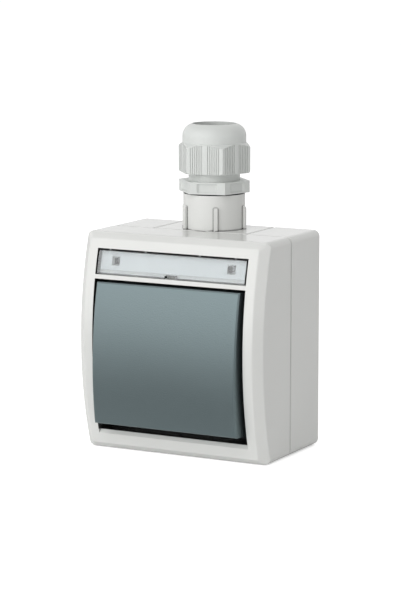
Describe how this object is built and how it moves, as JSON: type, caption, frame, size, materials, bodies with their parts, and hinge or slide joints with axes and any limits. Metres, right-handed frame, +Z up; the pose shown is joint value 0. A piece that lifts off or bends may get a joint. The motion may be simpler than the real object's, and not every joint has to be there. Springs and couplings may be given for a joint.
{
  "type": "two-way switch",
  "caption": "Surface-mounted splash-proof rocker switch with a barrel-curved front, a label window and a cable gland on top.",
  "frame": {"origin": "centre of the plinth's back face, on the wall", "axes": "+Z up, +X to the right seen from the front, the front looks along -Y and the wall is the plane y = 0"},
  "size_m": [0.077, 0.0557, 0.1221],
  "materials": {
    "housing_grey": "light warm grey moulding, satin gloss",
    "gland_grey": "light grey polyamide, satin",
    "rocker_grey": "dark blue-grey, fine matte grain",
    "window_clear": "clear moulded pane",
    "card_white": "plain white card",
    "seal_rubber": "black soft rubber",
    "mechanism_plastic": "pale moulded insulator",
    "zinc_steel": "zinc-plated steel",
    "terminal_brass": "bare brass",
    "contact_silver": "silver contact alloy"
  },
  "bodies": {
    "housing": {"base_box": "housing_grey", "entry_insert": "housing_grey", "cover_gasket": "seal_rubber", "front_cover": "housing_grey", "label_window": "window_clear", "label_card": "card_white", "rocker_seal": "seal_rubber", "support_frame": "zinc_steel", "mechanism_base": "mechanism_plastic", "mechanism_lid": "mechanism_plastic", "fixed_contact_tips": "contact_silver", "common_terminal": "terminal_brass", "way_one_terminal": "terminal_brass", "way_two_terminal": "terminal_brass", "terminal_clamps": "terminal_brass", "terminal_screws": "zinc_steel", "device_screws": "zinc_steel", "gland_washer": "seal_rubber", "gland_body": "gland_grey", "gland_grip": "seal_rubber"},
    "rocker": {"rocker": "rocker_grey", "toggle": "mechanism_plastic", "toggle_plunger": "mechanism_plastic", "toggle_spring": "zinc_steel"},
    "contact": {"contact_rocker": "terminal_brass", "moving_contact_tips": "contact_silver"},
    "slip_ring": {"gland_ring": "gland_grey"},
    "nut": {"gland_nut": "gland_grey"}
  },
  "joints": [
    {"name": "rocker_tilt", "type": "hinge", "parent": "housing", "child": "rocker", "pos_m": [0, -0.036, -0.0047], "axis": [1, 0, 0], "range_deg": [0, 9]},
    {"name": "contact_swing", "type": "hinge", "parent": "housing", "child": "contact", "pos_m": [0, -0.02175, -0.0047], "axis": [1, 0, 0], "range_deg": [-16, 0]},
    {"name": "nut_turn", "type": "hinge", "parent": "slip_ring", "child": "nut", "pos_m": [0, -0.0145, 0.06925], "axis": [0, 0, -1], "range_deg": [-360, 180]},
    {"name": "nut_advance", "type": "slide", "parent": "housing", "child": "slip_ring", "axis": [0, 0, -1], "range_m": [-0.0015, 0.00075], "deforming": ["gland_grip"]}
  ],
  "couplings": [
    {"joint": "contact_swing", "follows": "rocker_tilt", "ratio": -1.7778},
    {"joint": "nut_advance", "follows": "nut_turn", "m_per_rad": 0.00023873}
  ]
}
